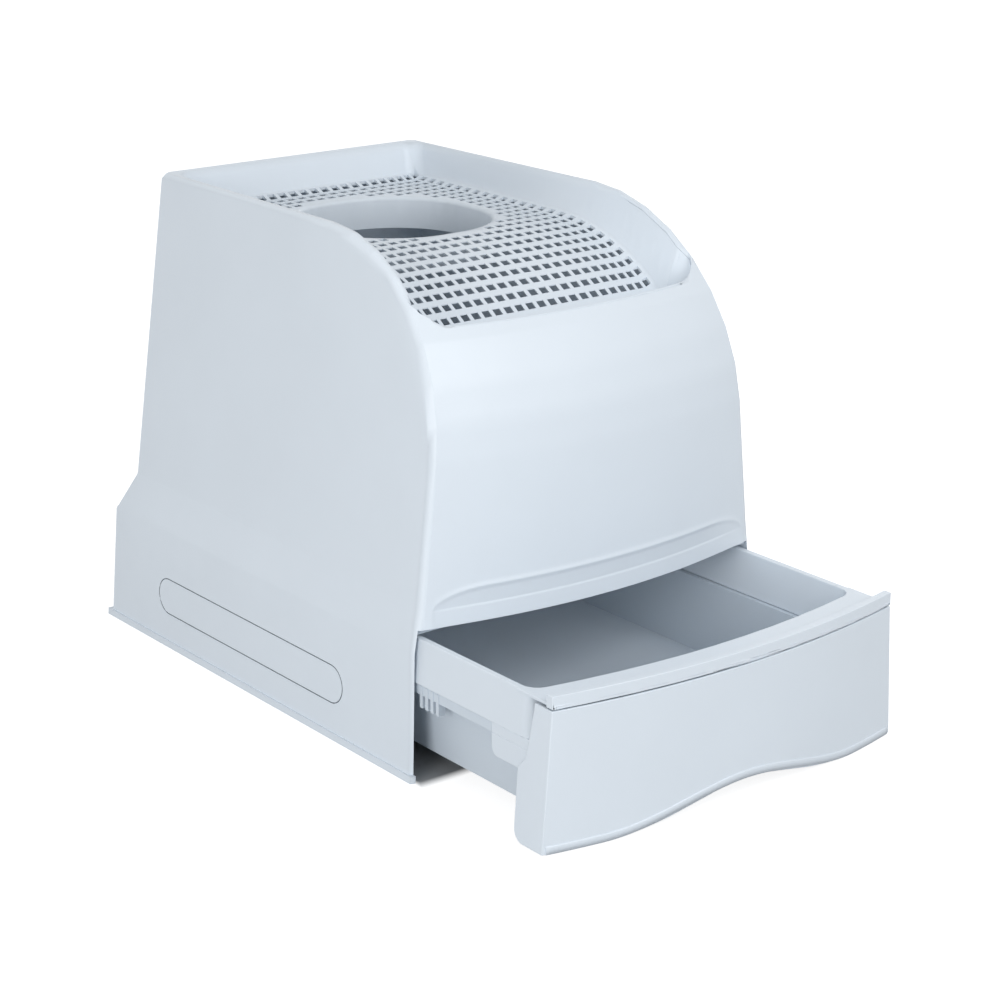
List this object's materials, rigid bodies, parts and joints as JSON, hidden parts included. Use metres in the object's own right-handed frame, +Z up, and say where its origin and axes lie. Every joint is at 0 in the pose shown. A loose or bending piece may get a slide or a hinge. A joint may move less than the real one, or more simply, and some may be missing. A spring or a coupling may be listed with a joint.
{
  "type": "top-entry drawer litter box",
  "caption": "Enclosed top-entry litter box: curved hood with a perforated dished lid and round-cornered entry hole, and a pan that pulls out below as a drawer.",
  "frame": {"origin": "on the floor under the middle of the whole box as it stands with its drawer 142 mm open", "axes": "+Z up, the drawer opens towards -Y, +X is the right-hand side as one faces the drawer front"},
  "size_m": [0.42, 0.748, 0.47],
  "materials": {
    "shell_plastic": "satin, pale bluish grey",
    "pan_plastic": "satin, pale bluish grey",
    "inner_plastic": "satin, pale bluish grey",
    "screw_steel": "zinc plated"
  },
  "bodies": {
    "hood": {"hood_shell": "shell_plastic", "front_panel": "shell_plastic", "crossbar": "inner_plastic", "top_tray": "shell_plastic", "side_cover_left": "shell_plastic", "side_cover_right": "shell_plastic", "rail_left": "inner_plastic", "rail_right": "inner_plastic", "rail_screws": "screw_steel"},
    "drawer": {"litter_pan": "pan_plastic", "rim_frame": "shell_plastic", "drawer_front": "shell_plastic", "corner_clip_left": "shell_plastic", "corner_clip_right": "shell_plastic"}
  },
  "joints": [
    {"name": "drawer_slide", "type": "slide", "parent": "hood", "child": "drawer", "axis": [0, -1, 0], "range_m": [-0.142, 0.1]}
  ]
}
